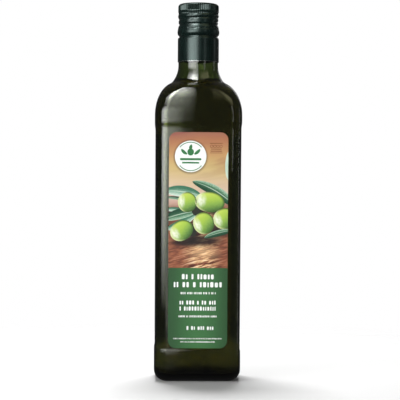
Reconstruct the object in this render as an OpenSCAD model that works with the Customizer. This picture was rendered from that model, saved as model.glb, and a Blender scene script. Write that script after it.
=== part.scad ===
// Square olive oil bottle with rounded corners: dark green glass, filled to the foot of the neck,
// closed by a long rolled-on aluminium cap, with a paper label in a shallow panel front and back.
// Millimetres, +Z up. The bottle stands on z = 0 with its axis on Z, and its front faces -Y.

/* [Body] */
// Width across the flats at the top of the body, under the shoulder
shoulder_w = 67; // [56:0.2:80]
// How much narrower the body is at the foot
foot_taper = 0.9; // [0:0.1:3]
// Height at which the shoulder starts to curve in
shoulder_z = 203.5; // [140:0.5:260]
// Radius of the four upright corners at the foot
corner_r = 10; // [6:0.5:14]
// Radius of the rounding between the sides and the base
heel_r = 9.2; // [4:0.2:10]
// How deep the push-up under the base is
push_up = 3.5; // [1:0.5:8]
// Diameter of the push-up at the base
push_up_d = 44; // [24:1:46]

/* [Label panel] */
// Height of the middle of the panel's lower step
panel_low_z = 24.2; // [15:0.1:60]
// Distance from the middle of the panel's upper step to the shoulder
panel_top_gap = 7.5; // [3:0.5:30]
// How far the panel lies back from the faces above and below it
panel_depth = 0.5; // [0.2:0.05:1.5]
// Height of the slope of the lower step
low_step_h = 1.4; // [0.6:0.1:5]
// Height of the slope of the upper step
top_step_h = 4.2; // [0.6:0.1:6]

/* [Shoulder and neck] */
// Height of the shoulder's dome, as the half axis of its ellipse
dome_h = 27.5; // [20:0.5:50]
// How far the dome's ellipse pulls in from the body's side
dome_in = 18.2; // [14:0.1:24]
// Half width of the crease where the dome meets the neck's flare
crease_r = 20.6; // [18:0.2:24]
// Radius of the hollow curve from the crease up to the neck
flare_r = 20.9; // [8:0.1:30]
// Diameter of the bore through the neck
bore_d = 22; // [14:0.5:24]
// Straight neck that shows between the flare and the cap
neck_show = 2.5; // [1:0.5:30]

/* [Glass] */
// Wall of the body
wall = 3.5; // [1.5:0.1:5]
// Glass over the push-up
base_t = 6.5; // [4:0.5:12]
// Radius of the small studs of the mould's mark on the heel
dot_r = 0.4; // [0.2:0.05:1]

/* [Oil] */
// Height of the oil's surface above the crease of the shoulder
oil_above_crease = 2; // [-10:0.5:8]
// Gap left between the oil's solid and the glass
oil_gap = 0.05; // [0.02:0.01:0.2]

/* [Cap] */
// Length of the cap
cap_l = 45.3; // [36:0.1:60]
// Outer diameter of the plain skirt
cap_d = 32; // [25:0.1:36]
// Thickness of the rolled aluminium
cap_wall = 0.4; // [0.25:0.05:0.6]
// Clearance between the skirt and the neck inside it
skirt_gap = 0.15; // [0.1:0.05:0.6]
// Number of knurls round the top
knurls = 64; // [40:1:90]
// Depth of a knurl
knurl_depth = 0.35; // [0.1:0.05:0.5]
// Number of bridges left between the slits of the tear line
bridges = 20; // [8:1:30]
// Rise of the thread in one turn
thread_pitch = 3.5; // [2:0.1:5]
// Depth of the thread's groove in the cap
thread_depth = 0.55; // [0.2:0.05:0.7]

/* [Labels] */
// Flat glass left on each side of a label
label_side_gap = 0.5; // [0.2:0.1:10]
// Flat glass left in the panel below a label
label_low_gap = 0.9; // [0.3:0.1:20]
// Flat glass left in the panel above a label
label_top_gap = 3.6; // [0.3:0.1:40]
// Radius of a label's corners
label_r = 6; // [0:0.5:15]
// Thickness of the paper with its glue
label_t = 0.15; // [0.08:0.01:0.3]

/* [Hidden] */
$fn = 96;
corner_steps = 12;           // points in a quarter of a ring
heel_steps = 5;              // rings up the heel
dome_steps = 8;              // rings up the dome
flare_steps = 5;             // rings up the flare
dish_steps = 4;              // cones up the push-up
dish_flat = 0.3;             // its flat middle, as a share of its width
dot_h = 0.3;                 // how far the mould's dots stand out
overlap = 1;                 // how far joined or cutting shapes reach into each other

shoulder_half = shoulder_w / 2;
foot_half = (shoulder_w - foot_taper) / 2;
corner_at = foot_half - corner_r;             // the corners' centres, from the axis
heel_fillet = min(heel_r, corner_r);
panel_top_z = shoulder_z - panel_top_gap;
flat_low_z = panel_low_z + low_step_h / 2;    // the panel's flat faces run from here
flat_top_z = panel_top_z - top_step_h / 2;    // up to here
cap_r = cap_d / 2;
neck_r = cap_r - cap_wall - skirt_gap;
bore_r = bore_d / 2;

// Half width of the body's plain sides at height z
function side(z) = foot_half + (shoulder_half - foot_half) * z / shoulder_z;
// Half width of the panel's faces at height z
function panel_side(z) = side(z) - panel_depth;
function mix(a, b, t) = a + (b - a) * t;

// ---- The glass is lofted through rings: rounded squares that turn into circles at the crease ----
// A shoulder is [half width at its foot, dome height, dome pull-in, crease half width, flare radius,
// radius at its top, corner radius at its foot].
outer_shoulder = [shoulder_half, dome_h, dome_in, crease_r, flare_r, neck_r,
                  shoulder_half - corner_at];
// The same shoulder drawn t further in, ending in a bore of radius r
function inner_shoulder(t, r) = [shoulder_half - t, dome_h - t, dome_in - t, crease_r - t, flare_r,
                                 r, shoulder_half - corner_at - t];
// Angle on the dome's ellipse at the crease, and on the flare's arc there
function dome_end(s) = acos((s[3] - s[0] + s[2]) / s[2]);
function flare_end(s) = acos(1 - (s[3] - s[5]) / s[4]);
function crease_z(s) = shoulder_z + s[1] * sin(dome_end(s));
function flare_top_z(s) = crease_z(s) + s[4] * sin(flare_end(s));
// Corner radius where the shoulder's half width is w: from the body's own to a full circle
function shoulder_corner(s, w) = w <= s[3] ? w : mix(s[6], s[3], (s[0] - w) / (s[0] - s[3]));
// [height, half width, corner radius] of each ring, from the shoulder's foot to the plain neck
function shoulder_rings(s) = concat(
    [for (i = [0:dome_steps])
        let (a = dome_end(s) * i / dome_steps, w = s[0] - s[2] * (1 - cos(a)))
        [shoulder_z + s[1] * sin(a), w, shoulder_corner(s, w)]],
    [for (i = [1:flare_steps])
        let (a = flare_end(s) * (1 - i / flare_steps), w = s[5] + s[4] * (1 - cos(a)))
        [flare_top_z(s) - s[4] * sin(a), w, w]]);
// Rings of a heel of radius r that starts at height low, drawn t in from the outside
function heel_rings(r, low, t) = [for (i = [0:heel_steps])
    let (a = 90 * i / heel_steps, z = low + r * (1 - cos(a)), w = side(z) - t - r * (1 - sin(a)))
    [z, w, w - corner_at]];
// Ring of half width w at height z, below the shoulder
function body_ring(z, w) = [z, w, w - corner_at];
// Ring of a plain round part with radius r
function round_ring(z, r) = [z, r, r];
// Points of one ring. Its corners are drawn round their circle, so that its flats lie at its half width
function ring(p) = let (r = p[2] / cos(45 / corner_steps))
    [for (q = [0:3], i = [0:corner_steps - 1])
        let (a = 90 * (q + (i + 0.5) / corner_steps),
             x = (q == 0 || q == 3) ? 1 : -1,
             y = q < 2 ? 1 : -1)
        [x * (p[1] - p[2]) + r * cos(a), y * (p[1] - p[2]) + r * sin(a), p[0]]];

crease_height = crease_z(outer_shoulder);
neck_low_z = flare_top_z(outer_shoulder);
cap_low_z = neck_low_z + neck_show;
cap_top_z = cap_low_z + cap_l;
mouth_z = cap_top_z - cap_wall;
oil_z = crease_height + oil_above_crease;

// Solid that runs through a list of rings
module lofted(rings) {
    n = 4 * corner_steps;
    last = len(rings) - 1;
    points = [for (p = rings) each ring(p)];
    sides = [for (j = [0:last - 1], i = [0:n - 1]) let (k = (i + 1) % n)
        [j * n + i, (j + 1) * n + i, (j + 1) * n + k, j * n + k]];
    bottom = [for (i = [0:n - 1]) i];
    top = [for (i = [n - 1:-1:0]) last * n + i];
    polyhedron(points = points, faces = concat([bottom], sides, [top]), convexity = 4);
}

// Dish whose rim lies at height low and which rises to a flat middle, like the push-up under the base
module dish(low) {
    rotate_extrude() polygon(concat(
        [[0, low - overlap], [push_up_d / 2, low - overlap]],
        [for (i = [0:dish_steps - 1]) let (a = i / dish_steps)
            [push_up_d / 2 * (1 - a * a * (1 - dish_flat)), low + push_up * a * (2 - a)]],
        [[push_up_d / 2 * dish_flat, low + push_up], [0, low + push_up]]));
}

// What the glass leaves hollow, drawn t further in than the glass
module hollow(t) {
    difference() {
        lofted(concat(
            heel_rings(heel_fillet - wall, base_t + t, wall + t),
            shoulder_rings(inner_shoulder(wall + t, bore_r - t)),
            [round_ring(mouth_z + overlap, bore_r - t)]));
        dish(base_t + t);
    }
}

// ---- Neck: heights of its finish are measured down from the cap's top ----
seat_gap = 0.1;                  // glass to metal, all round
finish_r = cap_r - 1.7;          // glass beside the thread and the liner
collar_r = cap_r - cap_wall - seat_gap;
collar_top = 18.6;               // collar that holds the tear band
collar_low = 23.4;
undercut_r = finish_r - seat_gap;
undercut_top = 24.2;
undercut_low = 27.4;
neck_top_z = cap_top_z - undercut_low;
lip_r = min(1, 0.4 * (finish_r - bore_r));

// Half outline of the glass that carries the cap, above the plain neck
module finish_outline() {
    polygon([
        [0, neck_top_z - overlap],
        [undercut_r, neck_top_z - overlap],
        [undercut_r, cap_top_z - undercut_top],
        [collar_r, cap_top_z - collar_low],
        [collar_r, cap_top_z - collar_top],
        [finish_r, cap_top_z - collar_top + 1],
        [finish_r, mouth_z - lip_r],
        [0, mouth_z - lip_r]]);
    translate([0, mouth_z - lip_r]) square([finish_r - lip_r, lip_r]);
    intersection() {
        translate([finish_r - lip_r, mouth_z - lip_r]) circle(lip_r);
        translate([0, mouth_z - lip_r]) square([finish_r, lip_r]);
    }
}

// Studs of the mould's mark, on the front of the heel: [across, height]
mould_dots = [[-6.5, 10], [-3.5, 10], [0.3, 9.5], [-2.4, 12.5]];

module bottle() color([0.13, 0.17, 0.05, 0.9]) difference() {
    union() {
        lofted(concat(
            heel_rings(heel_fillet, 0, 0),
            [body_ring(panel_low_z - low_step_h / 2, side(panel_low_z - low_step_h / 2)),
             body_ring(flat_low_z, panel_side(flat_low_z)),
             body_ring(flat_top_z, panel_side(flat_top_z)),
             body_ring(panel_top_z + top_step_h / 2, side(panel_top_z + top_step_h / 2))],
            shoulder_rings(outer_shoulder),
            [round_ring(neck_top_z, neck_r)]));
        rotate_extrude() finish_outline();
        for (d = mould_dots)
            translate([d[0], -side(d[1]) - dot_h, d[1]]) rotate([-90, 0, 0]) cylinder(r = dot_r, h = overlap);
    }
    hollow(0);
    dish(0);
}

module oil() color([0.42, 0.40, 0.05, 0.9]) intersection() {
    hollow(oil_gap);
    translate([-shoulder_half, -shoulder_half, 0]) cube([shoulder_w, shoulder_w, oil_z]);
}

// ---- Cap: heights are measured down from its top ----
rim_r = 1.4;                     // rounding of the top's edge
band_r = cap_r - 0.08;           // plain bands beside the knurls
knurl_r = cap_r - 0.2;           // crests of the knurls
knurl_root_r = knurl_r - knurl_depth;
root_cut = 0.15;                 // how much deeper a knurl's V would go if its root were sharp
knurl_top = 1.3;                 // band of long knurls
knurl_low = 5.9;
knurl_run_on = 0.1;              // how far the knurls run on inside the plain bands
liner_groove = 7.1;              // groove that holds the liner
liner_groove_r = cap_r - 1;
mark_top = 8.3;                  // band of short knurls
mark_low = 10.3;
thread_top = 11.1;               // drawn-in band that carries the thread
thread_low = 15;
thread_r = cap_r - 0.5;
pinch_groove = 15.9;             // groove above the tear band
pinch_r = cap_r - 1.15;
tear_line = 19.4;                // slits that the cap tears along
tear_h = 0.5;
bridge_w = 0.9;
bead_at = 21.9;                  // widest place of the tear band
bead_r = cap_r + 0.33;
tuck_groove = 25.5;              // groove rolled in under the glass's collar
tuck_r = cap_r - 1.2;
groove_half = 0.35;              // half the flat bottom of a groove
skirt_top = 27;
inside_r = cap_r - cap_wall;     // inside the band and the skirt
drawn_in_r = finish_r + seat_gap;

// Half outline of the cap's outside, with knurled bands at their roots
module cap_outside() {
    polygon([for (p = [
        [0, 0],
        [knurl_root_r - rim_r, 0],
        for (a = [15:15:90]) [knurl_root_r - rim_r * (1 - sin(a)), rim_r * (1 - cos(a))],
        [knurl_root_r, knurl_low],
        [band_r, knurl_low],
        [band_r, liner_groove - 1],
        [liner_groove_r, liner_groove - groove_half],
        [liner_groove_r, liner_groove + groove_half],
        [band_r, mark_top - groove_half],
        [band_r, mark_top],
        [knurl_root_r, mark_top],
        [knurl_root_r, mark_low],
        [band_r, mark_low],
        [band_r, thread_top - groove_half],
        [thread_r, thread_top],
        [thread_r, thread_low],
        [pinch_r, pinch_groove - groove_half],
        [pinch_r, pinch_groove + groove_half],
        [thread_r, pinch_groove + 1.1],
        [cap_r, tear_line - 1],
        [cap_r, tear_line],
        [bead_r, bead_at - 0.7],
        [bead_r, bead_at + 0.7],
        [cap_r, bead_at + 2],
        [tuck_r, tuck_groove - groove_half],
        [tuck_r, tuck_groove + groove_half],
        [cap_r, skirt_top],
        [cap_r, cap_l],
        [0, cap_l]]) [p[0], cap_top_z - p[1]]]);
}

// Half outline of the cap's inside, which follows the glass
module cap_inside() {
    polygon([for (p = [
        [0, cap_wall],
        [drawn_in_r, cap_wall],
        [drawn_in_r, pinch_groove + groove_half],
        [inside_r, collar_top - seat_gap],
        [inside_r, collar_low + 0.3],
        [drawn_in_r, tuck_groove - groove_half],
        [drawn_in_r, tuck_groove + groove_half],
        [inside_r, skirt_top + 0.2],
        [inside_r, cap_l + overlap],
        [0, cap_l + overlap]]) [p[0], cap_top_z - p[1]]]);
}

// Knurled band between two distances below the top
module knurled(top, low) {
    translate([0, 0, cap_top_z - low]) linear_extrude(low - top)
        polygon([for (i = [0:2 * knurls - 1])
            let (a = 180 * i / knurls, r = i % 2 == 0 ? knurl_r : knurl_root_r - root_cut)
            [r * cos(a), r * sin(a)]]);
}

// Groove of the right-hand thread, a swept hexagon that runs out of the metal at both ends
module thread_groove() {
    turns = (thread_low - thread_top) / thread_pitch;
    steps = ceil(turns * 36);
    sides = 6;
    rod_r = 0.9;
    points = [for (i = [0:steps], k = [0:sides - 1])
        let (a = 360 * turns * i / steps,
             deep = thread_depth * min(1, 6 * min(i, steps - i) / steps),
             out = thread_r + rod_r - deep + rod_r * cos(360 * k / sides),
             up = thread_pitch * turns * i / steps + rod_r * sin(360 * k / sides))
        [out * cos(a), out * sin(a), cap_top_z - thread_low + up]];
    faces = concat(
        [[for (k = [sides - 1:-1:0]) k]],
        [for (i = [0:steps - 1], k = [0:sides - 1]) let (m = (k + 1) % sides)
            [i * sides + k, i * sides + m, (i + 1) * sides + m, (i + 1) * sides + k]],
        [[for (k = [0:sides - 1]) steps * sides + k]]);
    polyhedron(points = points, faces = faces, convexity = 6);
}

// Slits of the tear line, with a bridge of metal left between each two
module slits() {
    step = 360 / bridges;
    for (i = [0:bridges - 1])
        rotate(i * step)
            rotate_extrude(angle = step - bridge_w / cap_r * 180 / PI)
                translate([drawn_in_r, cap_top_z - tear_line - tear_h / 2])
                    square([bead_r - drawn_in_r + overlap, tear_h]);
}

module cap() color([0.07, 0.11, 0.10]) difference() {
    union() {
        rotate_extrude() cap_outside();
        knurled(knurl_top, knurl_low + knurl_run_on);
        knurled(mark_top - knurl_run_on, mark_low + knurl_run_on);
    }
    rotate_extrude() cap_inside();
    thread_groove();
    slits();
}

// ---- Labels: paper that lies face to face with the panel ----
label_half = corner_at - label_side_gap;
label_low_z = flat_low_z + label_low_gap;
label_top_z = flat_top_z - label_top_gap;
// The panel's faces lean back by this angle
lean = atan((side(flat_top_z) - side(flat_low_z)) / (flat_top_z - flat_low_z));

// One label on the face towards -Y
module label() {
    h = (label_top_z - label_low_z) / cos(lean);
    translate([0, -panel_side(label_low_z), label_low_z])
        rotate([90 + lean, 0, 0])
            linear_extrude(label_t) {
                translate([-label_half, label_r]) square([2 * label_half, h - 2 * label_r]);
                translate([label_r - label_half, 0]) square([2 * (label_half - label_r), h]);
                for (x = [-1, 1], y = [label_r, h - label_r])
                    translate([x * (label_half - label_r), y]) circle(label_r);
            }
}

module front_label() color([0.32, 0.52, 0.33]) label();

module back_label() color([0.32, 0.52, 0.33]) rotate(180) label();

bottle();
oil();
cap();
front_label();
back_label();
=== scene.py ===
import math
import random

import bmesh
import bpy
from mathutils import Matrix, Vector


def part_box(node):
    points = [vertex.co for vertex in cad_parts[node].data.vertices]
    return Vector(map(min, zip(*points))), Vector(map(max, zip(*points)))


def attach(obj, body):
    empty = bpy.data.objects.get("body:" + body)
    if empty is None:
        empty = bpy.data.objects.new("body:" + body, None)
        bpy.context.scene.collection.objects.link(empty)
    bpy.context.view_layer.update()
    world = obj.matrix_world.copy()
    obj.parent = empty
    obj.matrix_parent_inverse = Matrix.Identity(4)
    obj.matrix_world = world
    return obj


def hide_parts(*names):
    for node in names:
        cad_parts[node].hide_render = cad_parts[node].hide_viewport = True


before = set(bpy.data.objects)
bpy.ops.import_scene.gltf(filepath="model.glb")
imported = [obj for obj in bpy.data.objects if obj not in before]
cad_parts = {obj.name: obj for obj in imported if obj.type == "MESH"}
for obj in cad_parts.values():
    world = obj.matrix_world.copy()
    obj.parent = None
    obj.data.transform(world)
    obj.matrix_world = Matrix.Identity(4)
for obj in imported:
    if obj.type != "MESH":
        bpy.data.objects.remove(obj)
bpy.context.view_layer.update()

scene = bpy.context.scene
mm = 0.001
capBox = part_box("cap")
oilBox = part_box("oil")
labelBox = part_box("front_label")
capTop = capBox[1][2] / mm
capLow = capBox[0][2] / mm
oilLevel = oilBox[1][2] / mm
print("stage: frame loaded, cap from", round(capLow, 1), "to", round(capTop, 1), "mm")


# picking, joining and handing over
def deselectAll():
    if bpy.context.mode != "OBJECT":
        bpy.ops.object.mode_set(mode="OBJECT")
    bpy.ops.object.select_all(action="DESELECT")


def startEdit():
    bpy.ops.object.mode_set(mode="EDIT")
    bpy.ops.mesh.select_all(action="SELECT")


def pickOnly(piece):
    deselectAll()
    piece.select_set(True)
    bpy.context.view_layer.objects.active = piece


def applyPlace(piece):
    pickOnly(piece)
    bpy.ops.object.transform_apply(location=True, rotation=True, scale=True)


def smoothBelow(piece, degrees):
    # smooth shading, with edges kept that are sharper than that angle
    pickOnly(piece)
    bpy.ops.object.shade_smooth_by_angle(angle=math.radians(degrees))


def joinPieces(pieces, name):
    deselectAll()
    for piece in pieces:
        piece.select_set(True)
    bpy.context.view_layer.objects.active = pieces[0]
    if len(pieces) > 1:
        bpy.ops.object.join()
    piece = bpy.context.object
    piece.name = name
    piece.data.name = name
    return piece


def handOver(piece, node=None):
    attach(piece, "root")
    if node:
        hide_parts(node)


def mixNumber(a, b, t):
    return a + (b - a) * t


def smooth(t):
    t = min(max(t, 0.0), 1.0)
    return t * t * (3 - 2 * t)


def evenly(start, end, steps):
    return [mixNumber(start, end, i / steps) for i in range(steps + 1)]


def srgb(red, green, blue):
    # 0-255 screen colour to the linear colour that shaders take
    shares = [c / 255 for c in (red, green, blue)]
    return tuple(s / 12.92 if s < 0.0404 else ((s + 0.055) / 1.055) ** 2.4 for s in shares) + (1,)


# building node trees; a value is a number, a colour or a socket
def newMaterial(name):
    mat = bpy.data.materials.new(name)
    mat.use_nodes = True
    nodes = mat.node_tree.nodes
    return mat, mat.node_tree, nodes["Principled BSDF"]


def wire(tree, value, socket):
    if hasattr(value, "is_linked"):
        tree.links.new(value, socket)
    else:
        socket.default_value = value


def calc(tree, operation, a, b=0.0, clamp=False):
    node = tree.nodes.new("ShaderNodeMath")
    node.operation = operation
    node.use_clamp = clamp
    wire(tree, a, node.inputs[0])
    wire(tree, b, node.inputs[1])
    return node.outputs[0]


def blendColour(tree, fac, a, b, mode="MIX"):
    node = tree.nodes.new("ShaderNodeMix")
    node.data_type = "RGBA"
    node.blend_type = mode
    wire(tree, fac, node.inputs[0])
    # inputs 6 and 7 and output 2 are this node's colours
    wire(tree, a, node.inputs[6])
    wire(tree, b, node.inputs[7])
    return node.outputs[2]


def ramp(tree, fac, stops):
    node = tree.nodes.new("ShaderNodeValToRGB")
    while len(node.color_ramp.elements) < len(stops):
        node.color_ramp.elements.new(0.5)
    for element, (place, colour) in zip(node.color_ramp.elements, stops):
        element.position = place
        element.color = colour
    wire(tree, fac, node.inputs[0])
    return node.outputs[0]


def spread(tree, value, low, high, newLow=0.0, newHigh=1.0, kind="SMOOTHSTEP"):
    node = tree.nodes.new("ShaderNodeMapRange")
    node.interpolation_type = kind
    wire(tree, value, node.inputs[0])
    for i, number in enumerate((low, high, newLow, newHigh)):
        node.inputs[i + 1].default_value = number
    return node.outputs[0]


def coords(tree, kind="Object", stretch=(1, 1, 1), tilt=0.0):
    # a pattern drawn on these is stretched along the axes, then tilted in the label's plane
    source = tree.nodes.new("ShaderNodeTexCoord")
    place = tree.nodes.new("ShaderNodeMapping")
    place.vector_type = "TEXTURE"
    place.inputs["Scale"].default_value = stretch
    place.inputs["Rotation"].default_value = (0, -math.radians(tilt), 0)
    tree.links.new(source.outputs[kind], place.inputs["Vector"])
    return place.outputs[0]


def axes(tree, vector):
    node = tree.nodes.new("ShaderNodeSeparateXYZ")
    tree.links.new(vector, node.inputs[0])
    return node.outputs


def noise(tree, vector, scale, detail=4.0, rough=0.5, distort=0.0):
    node = tree.nodes.new("ShaderNodeTexNoise")
    node.inputs["Scale"].default_value = scale
    node.inputs["Detail"].default_value = detail
    node.inputs["Roughness"].default_value = rough
    node.inputs["Distortion"].default_value = distort
    tree.links.new(vector, node.inputs["Vector"])
    return node.outputs["Fac"]


def bump(tree, height, shader, strength, distance):
    node = tree.nodes.new("ShaderNodeBump")
    node.inputs["Strength"].default_value = strength
    node.inputs["Distance"].default_value = distance
    tree.links.new(height, node.inputs["Height"])
    tree.links.new(node.outputs[0], shader.inputs["Normal"])


def absorb(tree, colour, density):
    volume = tree.nodes.new("ShaderNodeVolumeAbsorption")
    volume.inputs["Color"].default_value = colour
    volume.inputs["Density"].default_value = density
    output = next(n for n in tree.nodes if n.type == "OUTPUT_MATERIAL")
    tree.links.new(volume.outputs[0], output.inputs["Volume"])


def distance(tree, x, y):
    squares = calc(tree, "ADD", calc(tree, "MULTIPLY", x, x), calc(tree, "MULTIPLY", y, y))
    return calc(tree, "SQRT", squares)


def oval(tree, x, y, centre, half, inner, outer):
    # 1 inside an oval, falling to 0 between inner and outer times its size
    dx = calc(tree, "DIVIDE", calc(tree, "SUBTRACT", x, centre[0]), half[0])
    dy = calc(tree, "DIVIDE", calc(tree, "SUBTRACT", y, centre[1]), half[1])
    return spread(tree, distance(tree, dx, dy), inner, outer, 1.0, 0.0)


# shape of the glass, in mm
bottle = {
    "shoulderHalf": 33.5,
    "footHalf": 33.05,
    "shoulderZ": 203.5,
    "cornerAt": 23.05,
    "heel": 9.2,
    "pushUp": 3.5,
    "pushUpR": 22.0,
    "pushUpRings": (1, 5, 9, 13, 16.5, 19.5, 21.2),
    "pushUpCurve": 0.9,
    "lowStepZ": 24.2,
    "lowStepH": 1.6,
    "topStepZ": 196.0,
    "topStepH": 5.0,
    "panelDepth": 0.5,
    "domeH": 27.5,
    "domeIn": 18.2,
    "creaseR": 20.6,
    "creaseSoft": 1.6,
    "domeSteps": 30,
    "flareSteps": 16,
    "creaseSteps": 6,
    "flareR": 20.9,
    "neckR": 15.45,
    "boreR": 11.0,
    "wall": 3.5,
    "baseT": 6.5,
    "lipR": 1.0,
    "finishR": 14.3,
    "mouthDown": 0.4,
    "perQuarter": 26,
    "colour": (0.9, 0.95, 0.82, 1),
    "depthColour": (0.34, 0.41, 0.12, 1),
    "density": 430.0,
}
# the finish under the cap: (mm below the cap's top, radius)
finishSide = [(27.4, bottle["neckR"]), (27.3, 14.2), (24.2, 14.2), (23.4, 15.5), (18.6, 15.5),
              (17.6, bottle["finishR"])]
# the mouth's inner edge: (wider than the bore, below the mouth)
mouthEdge = [(0.6, 0.0), (0.15, 0.2), (0.0, 0.7)]


def sideAt(z):
    return mixNumber(bottle["footHalf"], bottle["shoulderHalf"], z / bottle["shoulderZ"])


def panelAt(z):
    # how far the panel lies back at height z, with soft steps at both ends
    low = smooth((z - bottle["lowStepZ"]) / bottle["lowStepH"] + 0.5)
    top = smooth((bottle["topStepZ"] - z) / bottle["topStepH"] + 0.5)
    return bottle["panelDepth"] * low * top


def outline(half, corner, z, count):
    # rounded square of that half width and corner radius, its points in order of their angle from -180
    points = []
    flat = half - corner
    for quarter in (2, 3, 0, 1):
        x = flat if quarter in (0, 3) else -flat
        y = flat if quarter < 2 else -flat
        for i in range(count):
            a = math.radians(90 * (quarter + (i + 0.5) / count))
            points.append((x + corner * math.cos(a), y + corner * math.sin(a), z))
    return points


def curveAt(t, start, aim, end):
    # a point of the curve that leaves start towards aim and comes from there into end
    return tuple((1 - t) ** 2 * a + 2 * t * (1 - t) * b + t * t * c for a, b, c in zip(start, aim, end))


def shoulderLine(inset, endR):
    # (height, half width) from the shoulder's foot to the plain neck, drawn inset from the outside
    half = bottle["shoulderHalf"] - inset
    domeH = bottle["domeH"] - inset
    domeIn = bottle["domeIn"] - inset
    crease = bottle["creaseR"] - inset
    flareR = bottle["flareR"]
    domeEnd = math.acos((crease - half + domeIn) / domeIn)
    flareEnd = math.acos(1 - (crease - endR) / flareR)
    creaseZ = bottle["shoulderZ"] + domeH * math.sin(domeEnd)
    topZ = creaseZ + flareR * math.sin(flareEnd)
    dome = [(bottle["shoulderZ"] + domeH * math.sin(a), half - domeIn * (1 - math.cos(a)))
            for a in evenly(0, domeEnd, bottle["domeSteps"])]
    flare = [(topZ - flareR * math.sin(a), endR + flareR * (1 - math.cos(a)))
             for a in evenly(flareEnd, 0, bottle["flareSteps"])]
    # the two arcs stop short of the crease, and a soft curve joins them
    before = [p for p in dome if p[0] < creaseZ - 0.45 * bottle["creaseSoft"]]
    after = [p for p in flare if p[0] > creaseZ + 0.8 * bottle["creaseSoft"]]
    shares = evenly(0, 1, bottle["creaseSteps"])[1:-1]
    soft = [curveAt(t, before[-1], dome[-1], after[0]) for t in shares]
    return before + soft + after, half, crease


def shoulderLoops(inset, endR, count):
    line, half, crease = shoulderLine(inset, endR)
    foot = bottle["shoulderHalf"] - bottle["cornerAt"] - inset
    loops = []
    for z, w in line:
        corner = w if w <= crease else mixNumber(foot, crease, (half - w) / (half - crease))
        loops.append(outline(w, corner, z, count))
    return loops


def heelLoops(radius, low, inset, count, steps=12):
    loops = []
    for i in range(steps + 1):
        a = math.radians(90 * i / steps)
        z = low + radius * (1 - math.cos(a))
        w = sideAt(z) - inset - radius * (1 - math.sin(a))
        loops.append(outline(w, w - bottle["cornerAt"], z, count))
    return loops


def dishLoops(low, count):
    # the push-up, from its middle out to its rim
    loops = []
    for r in bottle["pushUpRings"]:
        rise = math.cos(math.pi / 2 * (r / bottle["pushUpR"])) ** bottle["pushUpCurve"]
        loops.append(outline(r, r, low + bottle["pushUp"] * rise, count))
    loops.append(outline(bottle["pushUpR"], bottle["pushUpR"], low, count))
    return loops


def growLoops(name, loops):
    # a disc at the first loop, extruded through all the others, so that the solid is always closed
    deselectAll()
    bpy.ops.mesh.primitive_circle_add(vertices=len(loops[0]), radius=loops[0][0][0] * mm, fill_type="NGON")
    piece = bpy.context.object
    piece.name = name
    piece.data.name = name
    startEdit()
    for number, loop in enumerate(loops):
        if number:
            bpy.ops.mesh.extrude_region_move()
        mesh = bmesh.from_edit_mesh(piece.data)
        ring = sorted((v for v in mesh.verts if v.select), key=lambda v: math.atan2(v.co.y, v.co.x))
        for vert, point in zip(ring, loop):
            vert.co = [c * mm for c in point]
        bmesh.update_edit_mesh(piece.data, loop_triangles=False, destructive=False)
    # only the discs at both ends have more than four corners: each becomes a fan
    mesh = bmesh.from_edit_mesh(piece.data)
    for face in mesh.faces:
        face.select = len(face.verts) > 4
    bmesh.update_edit_mesh(piece.data)
    bpy.ops.mesh.poke()
    bpy.ops.mesh.select_all(action="SELECT")
    bpy.ops.mesh.normals_make_consistent(inside=False)
    bpy.ops.object.mode_set(mode="OBJECT")
    return piece


# in metres and degrees
cameraSpot = {
    "distance": 1.3416,
    "height": 0.1387,
    "across": 0.0021,
    "view": 13.26503,
    "roll": -0.38,
    "turn": -1.5,
}
deselectAll()
cameraTurn = math.radians(cameraSpot["turn"])
cameraX = cameraSpot["across"] * math.cos(cameraTurn) + cameraSpot["distance"] * math.sin(cameraTurn)
cameraY = cameraSpot["across"] * math.sin(cameraTurn) - cameraSpot["distance"] * math.cos(cameraTurn)
bpy.ops.object.camera_add(location=(cameraX, cameraY, cameraSpot["height"]),
                          rotation=(math.pi / 2, math.radians(cameraSpot["roll"]), cameraTurn))
camera = bpy.context.object
camera.name = "camera"
camera.data.angle = math.radians(cameraSpot["view"])
scene.camera = camera
scene.view_settings.view_transform = "Standard"
print("stage: camera placed")


def glassMaterial():
    mat, tree, shader = newMaterial("bottleGlass")
    place = coords(tree)
    shader.inputs["Base Color"].default_value = bottle["colour"]
    shader.inputs["Transmission Weight"].default_value = 1.0
    shader.inputs["IOR"].default_value = 1.52
    smear = noise(tree, place, 55, 3, 0.6)
    wire(tree, spread(tree, smear, 0.35, 0.75, 0.012, 0.045, "LINEAR"), shader.inputs["Roughness"])
    waves = noise(tree, coords(tree, stretch=(1, 1, 3)), 42, 2, 0.4)
    # the grain is only on the foot, where the bottle stands
    grain = noise(tree, place, 900, 2, 0.5)
    under = spread(tree, axes(tree, place)[2], 0.0, 0.0012, 1.0, 0.0)
    height = calc(tree, "ADD", calc(tree, "MULTIPLY", waves, 0.7),
                  calc(tree, "MULTIPLY", calc(tree, "MULTIPLY", grain, under), 0.6))
    bump(tree, height, shader, 0.1, 0.0008)
    absorb(tree, bottle["depthColour"], bottle["density"])
    return mat


def sideHeights():
    # close rows at the panel's soft steps, wide ones between them
    lowStart = bottle["lowStepZ"] - bottle["lowStepH"] / 2
    topStart = bottle["topStepZ"] - bottle["topStepH"] / 2
    heights = [12, 16, 20] + evenly(lowStart, lowStart + bottle["lowStepH"], 8)
    return heights + evenly(26, 193, 10) + evenly(topStart, topStart + bottle["topStepH"], 8) + [201]


def sideLoops(heights, inset, count):
    loops = []
    for z in heights:
        w = sideAt(z) - inset
        loops.append(outline(w, w - bottle["cornerAt"], z, count))
    return loops


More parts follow.
